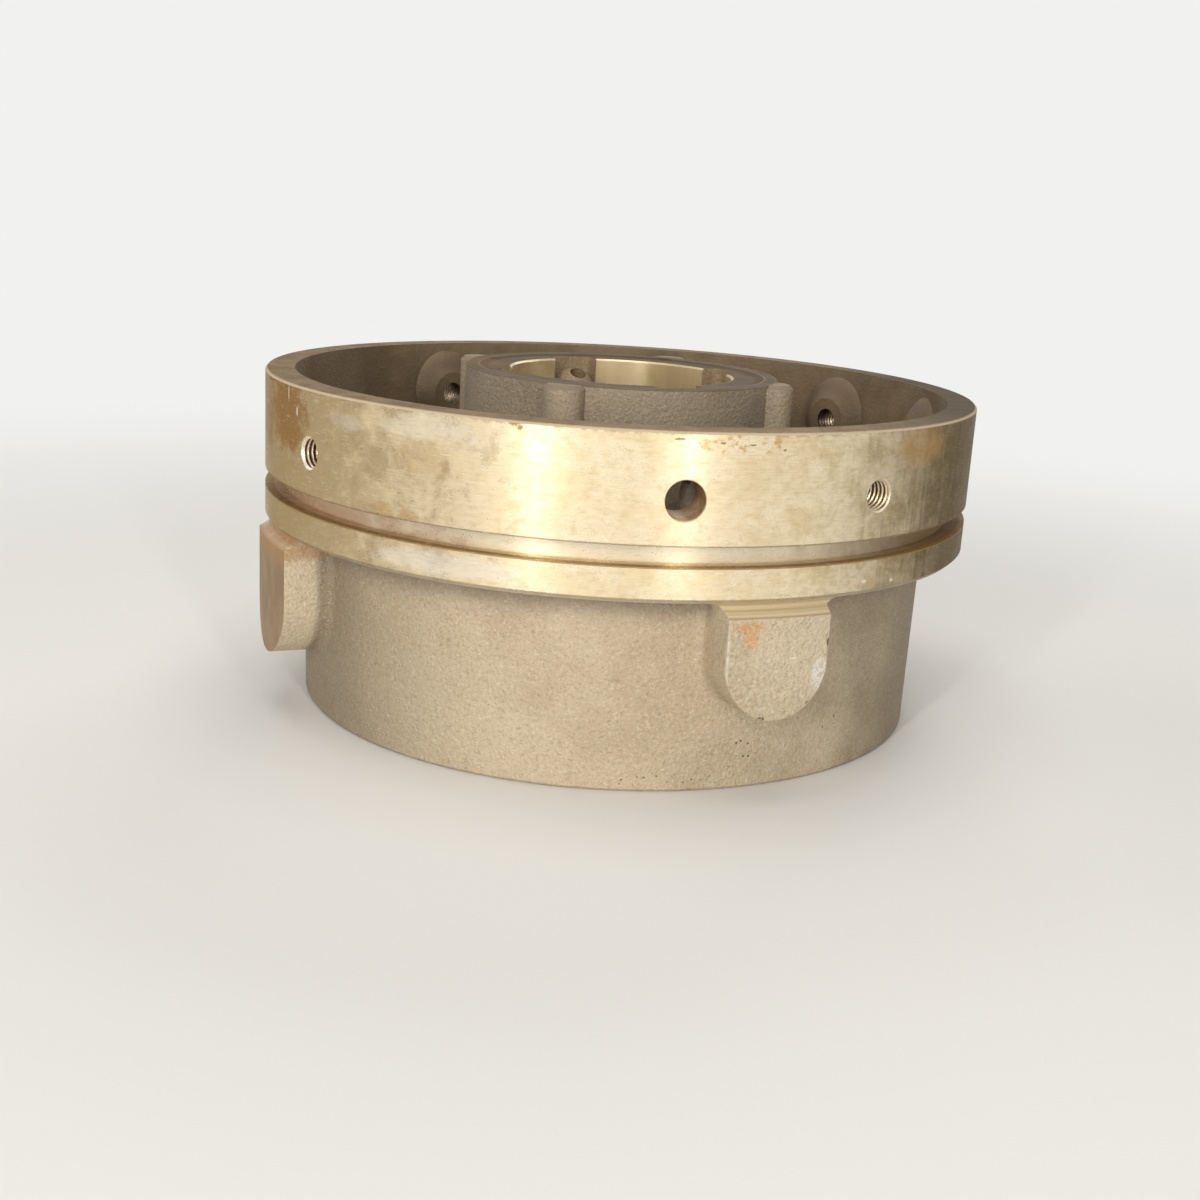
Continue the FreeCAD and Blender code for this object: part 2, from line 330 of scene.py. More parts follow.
def thread_tree(sizes, material):
    """Geometry Nodes tree that wraps a grid into a tapped wall and repeats it round the casing."""
    tree = bpy.data.node_groups.new("tapped_threads", "GeometryNodeTree")
    for name, value in sizes.items():
        kind = "NodeSocketInt" if isinstance(value, int) else "NodeSocketFloat"
        tree.interface.new_socket(name, in_out="INPUT", socket_type=kind).default_value = value
    tree.interface.new_socket("Geometry", in_out="OUTPUT", socket_type="NodeSocketGeometry")
    nodes, links = tree.nodes, tree.links
    given = nodes.new("NodeGroupInput").outputs

    def wire(value, socket):
        if isinstance(value, (int, float)):
            socket.default_value = value
        else:
            links.new(value, socket)

    def calc(operation, a, b=0.0, c=0.0):
        n = nodes.new("ShaderNodeMath")
        n.operation = operation
        for value, socket in zip((a, b, c), n.inputs):
            wire(value, socket)
        return n.outputs[0]

    def squared(value):
        return calc("MULTIPLY", value, value)

    steps_round, steps_along = 49, 150
    lap, run_out_length, bevel_slack = 0.0001, 0.0005, 0.00004
    flat_root, flank = 0.14, 1.35

    grid = nodes.new("GeometryNodeMeshGrid")
    for name, value in (("Size X", 1.0), ("Size Y", 1.0),
                        ("Vertices X", steps_round), ("Vertices Y", steps_along)):
        grid.inputs[name].default_value = value
    parts = nodes.new("ShaderNodeSeparateXYZ")
    links.new(nodes.new("GeometryNodeInputPosition").outputs[0], parts.inputs[0])
    turn = calc("ADD", parts.outputs[0], 0.5)
    angle = calc("MULTIPLY", turn, math.tau)
    # the mouth lies on the round band, so the wall is longest at its top and bottom
    side = calc("MULTIPLY", given["Mouth Radius"], calc("COSINE", angle))
    surface = calc("SQRT", calc("SUBTRACT", squared(given["Band Radius"]), squared(side)))
    foot = calc("ADD", given["Foot Radius"], lap)
    mouth = calc("SUBTRACT", surface, lap)
    share_out = calc("ADD", parts.outputs[1], 0.5)
    along = calc("MULTIPLY_ADD", share_out, calc("SUBTRACT", mouth, foot), foot)
    # trapezoid tooth that winds right-handed and fades out at the foot
    phase = calc("SUBTRACT", calc("DIVIDE", along, given["Pitch"]), turn)
    phase = calc("FRACT", calc("ADD", phase, 1.0))
    tooth = calc("MULTIPLY", calc("PINGPONG", phase, 0.5), 2.0)
    tooth = calc("MULTIPLY", calc("SUBTRACT", tooth, flat_root), flank)
    tooth = calc("MINIMUM", calc("MAXIMUM", tooth, 0.0), 1.0)
    run_out = calc("MINIMUM", calc("DIVIDE", calc("SUBTRACT", along, foot), run_out_length), 1.0)
    cut = calc("MULTIPLY", calc("MULTIPLY", tooth, run_out), given["Depth"])
    wall = calc("ADD", given["Core Radius"], cut)
    bevel = calc("SUBTRACT", given["Mouth Radius"], bevel_slack)
    bevel = calc("SUBTRACT", bevel, calc("SUBTRACT", mouth, along))
    wall = calc("MAXIMUM", wall, bevel)
    joined = nodes.new("ShaderNodeCombineXYZ")
    links.new(calc("MULTIPLY", wall, calc("COSINE", angle)), joined.inputs[0])
    links.new(calc("MULTIPLY", along, -1.0), joined.inputs[1])
    rise = calc("MULTIPLY", wall, calc("SINE", angle))
    links.new(calc("ADD", given["Height"], rise), joined.inputs[2])
    wrap = nodes.new("GeometryNodeSetPosition")
    links.new(grid.outputs["Mesh"], wrap.inputs["Geometry"])
    links.new(joined.outputs[0], wrap.inputs["Position"])
    close = nodes.new("GeometryNodeMergeByDistance")
    close.inputs["Distance"].default_value = 1e-6
    links.new(wrap.outputs[0], close.inputs["Geometry"])
    # one copy for each hole, turned about the casing's axis
    spots = nodes.new("GeometryNodeMeshLine")
    links.new(given["Count"], spots.inputs["Count"])
    spots.inputs["Offset"].default_value = (0, 0, 0)
    share = calc("DIVIDE", nodes.new("GeometryNodeInputIndex").outputs[0], given["Count"])
    turned_by = nodes.new("ShaderNodeCombineXYZ")
    azimuth = calc("ADD", calc("MULTIPLY", share, math.tau), given["First Azimuth"])
    links.new(azimuth, turned_by.inputs[2])
    copies = nodes.new("GeometryNodeInstanceOnPoints")
    links.new(spots.outputs[0], copies.inputs["Points"])
    links.new(close.outputs[0], copies.inputs["Instance"])
    links.new(turned_by.outputs[0], copies.inputs["Rotation"])
    real = nodes.new("GeometryNodeRealizeInstances")
    links.new(copies.outputs[0], real.inputs[0])
    smooth = nodes.new("GeometryNodeSetShadeSmooth")
    links.new(real.outputs[0], smooth.inputs["Geometry"])
    paint = nodes.new("GeometryNodeSetMaterial")
    paint.inputs["Material"].default_value = material
    links.new(smooth.outputs[0], paint.inputs["Geometry"])
    links.new(paint.outputs[0], nodes.new("NodeGroupOutput").inputs[0])
    return tree


# the walls and mouth bevels of the tapped holes make room for the threads
tapped_ways = ways_out(tapped_first)
tapped_walls = []
for face in shape.faces:
    for way_out in tapped_ways:
        reaches, offs = zip(*(along_hole(vert.co, way_out) for vert in face.verts))
        if min(reaches) > pillow_face - 0.0002 and max(offs) < tapped_mouth + 0.00004:
            tapped_walls.append(face)
bmesh.ops.delete(shape, geom=tapped_walls, context="FACES")
own_faces = set(shape.faces)

thread_sizes = {"Core Radius": tapped_core, "Mouth Radius": tapped_mouth, "Depth": 0.00075,
                "Pitch": 0.0015, "Band Radius": band_radius, "Foot Radius": pillow_face,
                "Height": hole_height, "First Azimuth": tapped_first, "Count": holes_of_a_kind}
thread_finish = thread_bronze()
threads = bpy.data.objects.new("tapped_threads", bpy.data.meshes.new("tapped_threads"))
bpy.context.collection.objects.link(threads)
modifier = threads.modifiers.new("threads", "NODES")
modifier.node_group = thread_tree(thread_sizes, thread_finish)
for item in modifier.node_group.interface.items_tree:
    if item.in_out == "INPUT":
        modifier[item.identifier] = thread_sizes[item.name]
made = bpy.data.meshes.new_from_object(threads.evaluated_get(bpy.context.evaluated_depsgraph_get()))
threads.modifiers.clear()
bpy.data.objects.remove(threads)

# the threads are sewn into the skin along their two ends
shape.from_mesh(made)
bpy.data.meshes.remove(made)
open_edges = [edge for edge in shape.edges if edge.is_boundary]
half_way = (pillow_face + band_radius) / 2
seam_radius = 0.007
for way_out in tapped_ways:
    foot_seam, mouth_seam = [], []
    for edge in open_edges:
        reach, off = along_hole(edge.verts[0].co, way_out)
        if reach > 0 and off < seam_radius:
            (mouth_seam if reach > half_way else foot_seam).append(edge)
    bmesh.ops.bridge_loops(shape, edges=foot_seam)
    bmesh.ops.bridge_loops(shape, edges=mouth_seam)
for face in shape.faces:
    if face not in own_faces:
        face.material_index = THREAD
bmesh.ops.recalc_face_normals(shape, faces=shape.faces)

crease = math.radians(24)
for face in shape.faces:
    face.smooth = True
for edge in shape.edges:
    if len(edge.link_faces) == 2 and edge.calc_face_angle(0) > crease:
        edge.smooth = False
shape.to_mesh(skin_mesh)
shape.free()


def true_normals(mesh):
    """Round faces get the normal of their cylinder, so that no facet shows in a long highlight."""
    kept = [Vector(corner.vector) for corner in mesh.corner_normals]
    for polygon in mesh.polygons:
        for corner in polygon.loop_indices:
            place = mesh.vertices[mesh.loops[corner].vertex_index].co
            radial = Vector((place.x, place.y, 0)).normalized()
            facing = polygon.normal.dot(radial)
            if abs(polygon.normal.z) < 0.02 and abs(abs(facing) - 1) < 0.004:
                kept[corner] = radial if facing > 0 else -radial
    mesh.normals_split_custom_set(kept)


true_normals(skin_mesh)
skin = bpy.data.objects.new("casing_skin", skin_mesh)
bpy.context.collection.objects.link(skin)
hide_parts("pump_casing")
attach(skin, "root")


# ---------------------------------------------------------------------------------------------
# The turned band, its groove and the collar: bright bronze with fine turning lines, toned by
# patches of tan and brown oxide, darker towards both ends, most at one, with oxide and painted
# shade, brightened in the groove by painted light, with stains and small nicks.

def turned_bronze():
    f = Finish("turned_bronze", 0.30, 0.5, specular=0.04)
    f.shader.inputs["Specular Tint"].default_value = (0.56, 0.43, 0.25, 1)
    f.shader.inputs["Anisotropic"].default_value = 0.65
    f.shader.inputs["Anisotropic Rotation"].default_value = 0.25
    round_axis = f.nodes.new("ShaderNodeTangent")
    round_axis.direction_type, round_axis.axis = "RADIAL", "Z"
    f.links.new(round_axis.outputs[0], f.shader.inputs["Tangent"])
    turn, reach = f.turn(), f.reach()
    bright, mellow, pale_gold = (0.84, 0.73, 0.52), (0.77, 0.64, 0.41), (0.90, 0.83, 0.66)
    tan, brown_line, light_line = (0.62, 0.46, 0.25), (0.50, 0.37, 0.20), (0.92, 0.85, 0.68)
    gold_oxide_and_shade, olive_oxide_and_shade = (0.33, 0.232, 0.108), (0.105, 0.074, 0.034)
    dark_run = (0.11, 0.072, 0.034)

    # the metal itself: mellow and bright patches, mottle and turning lines
    lines = f.noise(f.stretched(7, 5200), 1.0, 3.0, 0.65)
    blotch = f.noise(f.stretched(95, 120, (3, 1, 0)), 1.0, 5.0, 0.66, 0.25)
    mottle = f.noise(f.stretched(330, 460), 1.0, 4.0, 0.7)
    speck = f.noise(f.stretched(620, 800, (5, 2, 1)), 1.0, 4.0, 0.75)
    colour = f.mix(f.ramp(blotch, 0.42, 0.62), bright, mellow)
    colour = f.tint(colour, f.ramp(mottle, 0.48, 0.66), 0.42, tan)
    colour = f.tint(colour, f.ramp(mottle, 0.42, 0.28), 0.5, pale_gold)
    colour = f.tint(colour, f.ramp(lines, 0.48, 0.72), 0.22, brown_line)

    # gold tan oxide with painted shade over the left of the band and dull olive brown oxide with
    # painted shade towards the right end, both gone again before they meet at the back
    wander = f.times(f.less(blotch, 0.5), 1.5)
    left = f.times(f.arc(f.plus(turn, wander), -14, -46), f.arc(turn, -140, -100))
    right = f.times(f.arc(f.plus(turn, f.times(wander, 0.3)), 22, 60), f.arc(turn, 135, 95))
    colour = f.tint(colour, left, 0.74, gold_oxide_and_shade)
    colour = f.tint(colour, right, 0.92, olive_oxide_and_shade)
    f.wire(f.less(0.5, f.times(right, 0.35)), f.shader.inputs["Metallic"])
    runs = f.noise(f.stretched(430, 24), 1.0, 3.0, 0.6)
    colour = f.tint(colour, f.times(f.ramp(runs, 0.48, 0.66), right), 0.50, dark_run)

    # orange brown stains on the upper left and over the middle, a spotted orange row near the rim;
    # each mark has its azimuth in degrees, then its height, width and tallness, then its strength
    stain = f.near(-58.5, band_radius, 0.1005, 0.016, 0.0125, 1.9, 190)
    side_stain = f.near(-73, band_radius, 0.0990, 0.020, 0.017, 1.2, 150)
    stain = f.math("MAXIMUM", stain, f.times(side_stain, 0.85))
    colour = f.tint(colour, stain, 0.74, (0.29, 0.135, 0.038))
    for azimuth, z, wide, tall, strength in ((-34, 0.0795, 0.004, 0.003, 0.5),
                                             (-29.5, 0.0790, 0.004, 0.003, 0.45),
                                             (-27, 0.096, 0.010, 0.006, 0.30),
                                             (49, 0.104, 0.014, 0.006, 0.45)):
        spot = f.near(azimuth, band_radius, z, wide, tall, 1.2, 420)
        colour = f.tint(colour, spot, strength, (0.47, 0.27, 0.09))
    row = f.near(16.5, band_radius, 0.1068, 0.016, 0.0030, 1.2, 500)
    colour = f.tint(colour, f.times(row, f.ramp(mottle, 0.50, 0.60)), 0.75, (0.58, 0.33, 0.10))
    # pale scuffs under the rim and on the collar, left of the middle
    for azimuth, z, wide, tall, strength in ((-24, 0.0668, 0.026, 0.0036, 0.5),
                                             (-27, 0.1052, 0.016, 0.0040, 0.30),
                                             (-41, 0.1030, 0.008, 0.0030, 0.20)):
        scuff = f.near(azimuth, band_radius, z, wide, tall, 1.6, 240)
        colour = f.tint(colour, scuff, strength, (0.84, 0.80, 0.71))

    # inside the groove: painted light that brightens the floor where the band shades it, pinkish
    # brown on the left and dark olive on the right with the painted side shade, a thin brown line
    # under the band, brown dirt in a broader line on the collar's flank, and a grey line along the
    # collar's lower corner
    inner = f.ramp(reach, band_radius - 0.0008, band_radius - 0.0014)
    colour = f.tint(colour, inner, 0.60, (0.93, 0.86, 0.70))
    colour = f.tint(colour, f.times(inner, left), 0.62, (0.60, 0.40, 0.26))
    colour = f.tint(colour, f.times(inner, right), 0.85, (0.27, 0.17, 0.070))
    lower_edge = f.times(inner, f.line(f.z, groove_bottom, 0.00015, 0.0005))
    colour = f.tint(colour, lower_edge, 0.25, (0.40, 0.26, 0.12))
    outer_flank = f.ramp(reach, band_radius - 0.0032, band_radius - 0.0026)
    flank = f.times(f.line(f.z, groove_bottom, 0.00040, 0.0001), outer_flank)
    colour = f.tint(colour, flank, 0.82, (0.30, 0.17, 0.055))
    colour = f.tint(colour, f.line(f.z, groove_top, 0.00028, 0.0002), 0.75, (0.22, 0.14, 0.07))
    lower_corner = f.ramp(f.z, collar_bottom + 0.0002, collar_bottom - 0.0003)
    colour = f.tint(colour, lower_corner, 0.60, (0.40, 0.36, 0.29))
    # broken brown line along the top corner where the band has been handled
    top_corner = f.ramp(f.z, rim_height - 0.0016, rim_height - 0.0004)
    worn = f.times(top_corner, f.ramp(mottle, 0.44, 0.60))
    colour = f.tint(colour, worn, 0.65, (0.33, 0.21, 0.10))

    # scattered specks and dashes, then single nicks and scratches
    colour = f.tint(colour, f.ramp(speck, 0.68, 0.76), 0.45, (0.36, 0.25, 0.13))
    dashes = f.noise(f.stretched(260, 2600, (2, 7, 4)), 1.0, 3.0, 0.7)
    colour = f.tint(colour, f.ramp(dashes, 0.55, 0.68), 0.35, (0.50, 0.36, 0.19))
    light_dashes = f.times(f.ramp(dashes, 0.45, 0.32), f.less(1.0, right))
    colour = f.tint(colour, light_dashes, 0.30, light_line)
    height = f.plus(f.times(lines, 0.30), f.times(speck, 0.07))
    for azimuth, z, wide, tall in ((-14.2, 0.1093, 0.0022, 0.0008), (-13.2, 0.1082, 0.0010, 0.0007),
                                   (66.0, 0.1088, 0.0035, 0.0014), (-66.5, 0.1093, 0.0050, 0.0012),
                                   (7.7, 0.1078, 0.0016, 0.0004), (13.6, 0.1070, 0.0008, 0.0004),
                                   (22.4, 0.1052, 0.0008, 0.0004), (17.8, 0.1066, 0.0014, 0.0003)):
        nick = f.near(azimuth, band_radius, z, wide, tall, 2.2, 900)
        height = f.less(height, f.times(nick, 2.0))
        colour = f.tint(colour, nick, 0.75, (0.20, 0.12, 0.05))
    for azimuth, z, wide, tall in ((-57.6, 0.1070, 0.0004, 0.0030), (-54.5, 0.1022, 0.0007, 0.0016),
                                   (-23.7, 0.0983, 0.0018, 0.0002), (-5.0, 0.0700, 0.0026, 0.0002),
                                   (38.0, 0.0655, 0.0012, 0.0006), (44.0, 0.0645, 0.0008, 0.0006)):
        scratch = f.near(azimuth, band_radius, z, wide, tall, 0.6, 900)
        colour = f.tint(colour, scratch, 0.7, (0.88, 0.82, 0.70))
    rough = f.plus(f.ramp(blotch, 0.35, 0.7, 0.26, 0.36), f.times(right, 0.18))
    return f.done(colour, f.bump(height, 0.00005, 0.5), rough)


# ---------------------------------------------------------------------------------------------
# The drum and its two lugs: the outside of the casting as the sand left it, matte tan bronze
# with a fine grain, a few gas pits, and a scuffed and stained lug face, and painted shade
# towards the drum's sides and under the band.

def cast_grain(f, coarse=1.0):
    """Height of a sand-cast skin: low lumps under a fine sandy grain."""
    sand = f.noise(f.place, 1250 * coarse, 3.0, 0.6)
    lumps = f.noise(f.place, 420 * coarse, 3.0, 0.5)
    grains = f.less(1.0, f.cells(f.place, 900 * coarse))
    return f.plus(sand, f.plus(f.times(lumps, 0.6), f.times(grains, 0.45)))


def cast_bronze():
    f = Finish("cast_bronze", 0.62, 0.10, specular=0.3)
    turn, reach = f.turn(), f.reach()
    sandy_tan, deeper_tan = (0.60, 0.50, 0.355), (0.49, 0.395, 0.27)
    dark_grain, light_grain = (0.30, 0.225, 0.14), (0.76, 0.67, 0.51)
    painted_side_shade, painted_under_shade = (0.20, 0.155, 0.098), (0.27, 0.215, 0.165)
    grain = cast_grain(f)
    cloud = f.noise(f.place, 24, 4.0, 0.6)
    fine = f.noise(f.place, 800, 3.0, 0.7)
    colour = f.mix(f.ramp(cloud, 0.36, 0.66), sandy_tan, deeper_tan)
    colour = f.tint(colour, f.ramp(fine, 0.52, 0.74), 0.50, dark_grain)
    colour = f.tint(colour, f.ramp(fine, 0.46, 0.28), 0.45, light_grain)

    # the drum: painted shade, browner towards both sides and grey brown in the corner under the
    # band
    on_drum = f.ramp(reach, drum_radius + 0.006, drum_radius + 0.003)
    wander = f.times(f.less(cloud, 0.5), 0.8)
    side = f.arc(f.math("ABSOLUTE", f.plus(turn, f.plus(wander, -0.05))), 24, 62)
    not_back = f.arc(f.math("ABSOLUTE", turn), 135, 95, 0.35, 1.0)
    colour = f.tint(colour, f.times(side, f.times(not_back, on_drum)), 0.74, painted_side_shade)
    # painted shade in the corner under the band
    under = f.times(f.ramp(f.plus(f.z, f.times(cloud, 0.008)), 0.053, 0.0645), on_drum)
    colour = f.tint(colour, under, 0.72, painted_under_shade)

    # the lugs: sandy faces with pale rubbed edges, rust under the relief, a pale scuff, a scratch
    proud = f.ramp(reach, drum_radius + 0.0060, drum_radius + 0.0095)
    colour = f.tint(colour, f.times(proud, f.ramp(fine, 0.6, 0.4)), 0.30, (0.68, 0.58, 0.42))
    pale_patch = f.near(15.9, lug_face_radius, 0.0420, 0.0011, 0.0190, 0.9, 700)
    colour = f.tint(colour, pale_patch, 0.55, (0.78, 0.72, 0.60))
    stain = f.near(19.2, lug_face_radius, 0.0548, 0.0052, 0.0020, 1.3, 620)
    lower_stain = f.near(19.4, lug_face_radius, 0.0515, 0.0026, 0.0030, 1.5, 620)
    stain = f.math("MAXIMUM", stain, lower_stain)
    colour = f.tint(colour, f.times(stain, f.ramp(fine, 0.30, 0.50)), 0.60, (0.62, 0.29, 0.075))
    left_stain = f.near(-62, lug_face_radius, 0.0575, 0.022, 0.0042, 0.9, 300)
    colour = f.tint(colour, left_stain, 0.62, (0.42, 0.22, 0.09))
    scuff = f.near(30.4, lug_face_radius, 0.0400, 0.0032, 0.0058, 1.6, 620)
    colour = f.tint(colour, f.times(scuff, f.ramp(fine, 0.38, 0.56)), 0.75, (0.78, 0.77, 0.74))
    scratch = f.near(26.1, lug_face_radius, 0.0453, 0.0016, 0.0004, 0.6, 900)
    colour = f.tint(colour, scratch, 0.6, (0.84, 0.78, 0.64))
    speck = f.noise(f.place, 1500, 2.0, 0.6)
    colour = f.tint(colour, f.ramp(speck, 0.44, 0.30), 0.30, (0.25, 0.19, 0.12))
    colour = f.tint(colour, f.ramp(speck, 0.58, 0.72), 0.30, (0.85, 0.77, 0.62))

    # gas pits: azimuth in degrees, radius, height, width, tallness, and the size of each pit
    pits = ((23.6, drum_radius, 0.0125, 0.0060, 0.0045, 0.10),
            (41.2, drum_radius, 0.0166, 0.0045, 0.0030, 0.11),
            (10.0, drum_radius, 0.0040, 0.0220, 0.0022, 0.05),
            (28.6, lug_face_radius, 0.0322, 0.0012, 0.0012, 0.5),
            (21.6, lug_face_radius, 0.0273, 0.0016, 0.0008, 0.5),
            (31.6, lug_face_radius, 0.0492, 0.0006, 0.0013, 0.5))
    cells = f.cells(f.place, 560)
    height = grain
    for azimuth, radius, z, wide, tall, pit_size in pits:
        patch = f.near(azimuth, radius, z, wide, tall, 1.2, 500)
        pit = f.times(patch, f.ramp(cells, pit_size + 0.13, pit_size))
        height = f.less(height, f.times(pit, 1.4))
        colour = f.tint(colour, pit, 0.88, (0.12, 0.08, 0.045))
    return f.done(colour, f.bump(height, 0.00055, 0.9), f.ramp(fine, 0.3, 0.7, 0.50, 0.70))


# ---------------------------------------------------------------------------------------------
# The cored inside: a smoother, darker brown skin in the trough and throat, as the sand core left
# it, a little lighter on the pillow bosses with a painted highlight, and darker round them with
# painted shade.

def cored_bronze():
    f = Finish("cored_bronze", 0.55, 0.12, specular=0.25)
    brown, lighter = (0.165, 0.115, 0.065), (0.235, 0.170, 0.105)
    pale_patch, shade = (0.36, 0.27, 0.17), (0.085, 0.058, 0.034)
    cloud = f.noise(f.place, 40, 4.0, 0.6)
    colour = f.mix(f.ramp(cloud, 0.36, 0.66), brown, lighter)
    wall_radius = band_radius - rim_thickness
    uneven_reach = f.plus(f.reach(), f.times(cloud, 0.004))
    proud = f.ramp(uneven_reach, wall_radius + 0.002, pillow_face + 0.001)
    # painted highlight: the bosses a little lighter
    colour = f.tint(colour, f.times(proud, f.ramp(f.z, 0.066, 0.084)), 0.10, pale_patch)
    # painted shade: the skirts of the bosses grow darker towards the wall
    quarter = math.pi / 2
    off = f.off_axes(tapped_first, tapped_first + quarter, plain_first, plain_first + quarter)
    skirt = f.times(f.ramp(off, 0.0060, 0.0125), f.ramp(off, 0.0175, 0.0130))
    colour = f.tint(colour, skirt, 0.5, shade)
    return f.done(colour, f.bump(cast_grain(f, 0.8), 0.00026, 0.7))


# ---------------------------------------------------------------------------------------------
# The hub's outside, its four half-round ribs and the pockets inside it: a coarser grey brown
# cast skin, sandy on the ribs.

def hub_bronze():
    f = Finish("hub_bronze", 0.60, 0.12, specular=0.3)
    reach = f.reach()
    grey_brown, deeper, sandy = (0.36, 0.295, 0.215), (0.29, 0.23, 0.16), (0.46, 0.38, 0.28)
    cloud = f.noise(f.place, 46, 4.0, 0.6)
    fine = f.noise(f.place, 820, 3.0, 0.7)
    speck = f.noise(f.place, 1500, 2.0, 0.6)
    colour = f.mix(f.ramp(cloud, 0.36, 0.66), grey_brown, deeper)
    colour = f.tint(colour, f.ramp(fine, 0.5, 0.7), 0.4, sandy)
    on_ribs = f.ramp(reach, hub_radius + 0.0015, hub_radius + 0.0045)
    colour = f.tint(colour, on_ribs, 0.55, (0.50, 0.41, 0.28))
    in_pockets = f.ramp(reach, bore_radius + 0.0085, bore_radius + 0.0070)
    colour = f.tint(colour, in_pockets, 0.65, (0.30, 0.21, 0.11))
    colour = f.tint(colour, f.ramp(speck, 0.46, 0.30), 0.35, (0.13, 0.10, 0.07))
    colour = f.tint(colour, f.ramp(speck, 0.56, 0.70), 0.35, (0.62, 0.53, 0.40))
    return f.done(colour, f.bump(cast_grain(f, 0.85), 0.00040, 0.8))


# ---------------------------------------------------------------------------------------------
# The hub's turned face, the register step inside it and the bore: fine-turned bronze, dark with
# tarnish and painted shade on the flats, painted shade in the step and painted glints along its
# edges, and yellow in the bore, where soft streaks run down the wall.

register_foot = hub_radius - 0.0045 - 0.0028


def hub_face_bronze():
    f = Finish("hub_face_bronze", 0.62, 0.05, specular=0.02)
    reach = f.reach()
    tarnish_and_shade, darker, painted_edge_glint = (0.135, 0.105, 0.072), (0.105, 0.078, 0.046), (0.52, 0.42, 0.27)
    grain = f.noise(f.place, 900, 2.0, 0.5)
    cloud = f.noise(f.place, 60, 4.0, 0.6)
    # tarnish and painted shade make the flats dark
    colour = f.mix(f.ramp(cloud, 0.40, 0.64), tarnish_and_shade, darker)
    # painted shade in the register step
    step = f.times(f.ramp(reach, register_foot - 0.0004, register_foot),
                   f.ramp(reach, register_foot + 0.0028, register_foot + 0.0024))
    colour = f.tint(colour, step, 0.65, (0.07, 0.040, 0.016))
    # painted highlights: glints along the register's edge, the hub's outer edge and the bore's
    # mouth
    for edge, strength in ((register_foot + 0.0029, 0.30), (hub_radius - 0.0004, 0.20),
                           (bore_radius + 0.0006, 0.6)):
        colour = f.tint(colour, f.line(reach, edge, 0.0001, 0.0003), strength, painted_edge_glint)
    stain = f.near(-90, 0.049, hub_top, 0.016, 0.004, 0.8, 220)
    colour = f.tint(colour, stain, 0.35, (0.22, 0.12, 0.05))
    # the ends of the ribs, outside the turned ring, keep the skin of the casting
    rib_ends = f.ramp(reach, hub_radius, hub_radius + 0.0006)
    colour = f.tint(colour, rib_ends, 0.75, (0.34, 0.275, 0.195))
    return f.done(colour, f.bump(grain, 0.00005, 0.5))


def bore_bronze():
    f = Finish("bore_bronze", 0.33, 0.5)
    yellow, deeper, brown = (0.66, 0.54, 0.33), (0.50, 0.39, 0.21), (0.38, 0.27, 0.13)
    streaks = f.noise(f.stretched(60, 5), 1.0, 3.0, 0.5)
    lines = f.noise(f.stretched(6, 3800), 1.0, 3.0, 0.6)
    cloud = f.noise(f.place, 70, 4.0, 0.6)
    colour = f.mix(f.ramp(streaks, 0.40, 0.62), yellow, deeper)
    colour = f.tint(colour, f.ramp(cloud, 0.48, 0.66), 0.5, brown)
    return f.done(colour, f.bump(lines, 0.00004, 0.5))


# ---------------------------------------------------------------------------------------------
# The drilled walls of the plain radial holes, with painted shade darker towards the inside and
# freshly cut at the mouth, and the flat end of the band, dull brown and partly painted shade,
# darker towards one end with oxide and painted shade, with a pale line along its outer corner.

def drilled_bronze():
    f = Finish("drilled_bronze", 0.45, 0.4, specular=0.2)
    reach = f.reach()
    cut_brown, deeper = (0.52, 0.36, 0.19), (0.36, 0.23, 0.11)
    painted_inner_shade, fresh_cut = (0.14, 0.085, 0.045), (0.80, 0.64, 0.42)
    cloud = f.noise(f.place, 500, 3.0, 0.6)
    rings = f.noise(f.stretched(5, 2600), 1.0, 3.0, 0.6)
    colour = f.mix(f.ramp(cloud, 0.4, 0.65), cut_brown, deeper)
    inner_end = f.ramp(reach, pillow_face + 0.008, pillow_face + 0.001)
    mouth = f.ramp(reach, band_radius - 0.0014, band_radius - 0.0008)
    # painted shade deeper in the hole
    colour = f.tint(colour, inner_end, 0.7, painted_inner_shade)
    colour = f.tint(colour, mouth, 0.8, fresh_cut)
    return f.done(colour, f.bump(rings, 0.00003, 0.5))


def rim_bronze():
    f = Finish("rim_bronze", 0.64, 0.03, specular=0.02)
    turn = f.turn()
    brown, deeper = (0.27, 0.20, 0.125), (0.19, 0.135, 0.08)
    light, end_oxide_and_shade = (0.42, 0.33, 0.21), (0.050, 0.040, 0.025)
    cloud = f.noise(f.place, 90, 5.0, 0.65)
    speck = f.noise(f.place, 700, 4.0, 0.7)
    # the brown of this upward face is partly painted shade
    colour = f.mix(f.ramp(cloud, 0.38, 0.64), brown, deeper)
    colour = f.tint(colour, f.ramp(speck, 0.52, 0.66), 0.4, light)
    # oxide and painted shade darken the rim towards the right end, gone again before the back
    colour = f.tint(colour, f.times(f.arc(turn, 30, 70), f.arc(turn, 150, 110)), 0.8, end_oxide_and_shade)
    outer_corner = f.ramp(f.reach(), band_radius - 0.0009, band_radius - 0.0004)
    colour = f.tint(colour, outer_corner, 0.7, (0.70, 0.58, 0.40))
    return f.done(colour, f.bump(speck, 0.00008, 0.5))


# ---------------------------------------------------------------------------------------------
# The turned relief between the collar and each lug, and the brown tarnished face of the lug on
# the left: both were skimmed on the lathe together with the band.

